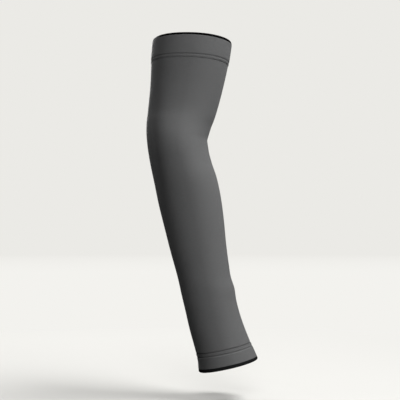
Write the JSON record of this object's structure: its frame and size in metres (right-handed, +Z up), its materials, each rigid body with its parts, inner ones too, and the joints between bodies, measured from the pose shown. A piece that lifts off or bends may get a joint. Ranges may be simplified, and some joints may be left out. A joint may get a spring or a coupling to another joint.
{
  "type": "arm sleeve",
  "caption": "Compression arm sleeve in the form of a slightly bent arm: a tapered fine-knit tube from upper arm to wrist, with a folded hem cuff and an elastic grip band at each end.",
  "frame": {"origin": "on the axis of the upper arm, in the middle of the upper grip band, where the sleeve holds on to the arm", "axes": "+Z up the arm towards the shoulder, +X towards the inside of the elbow, Y across the arm"},
  "size_m": [0.1304, 0.0886, 0.3894],
  "materials": {
    "knit": "smooth fine-gauge jersey, mid grey, a faint sheen",
    "hem_knit": "the same jersey, folded and twin-needle stitched",
    "elastic": "matt black elastic with a rolled edge"
  },
  "bodies": {
    "root": {"sleeve_tube": "knit", "upper_cuff": "hem_knit", "lower_cuff": "hem_knit", "upper_grip_band": "elastic", "lower_grip_band": "elastic"}
  },
  "joints": []
}
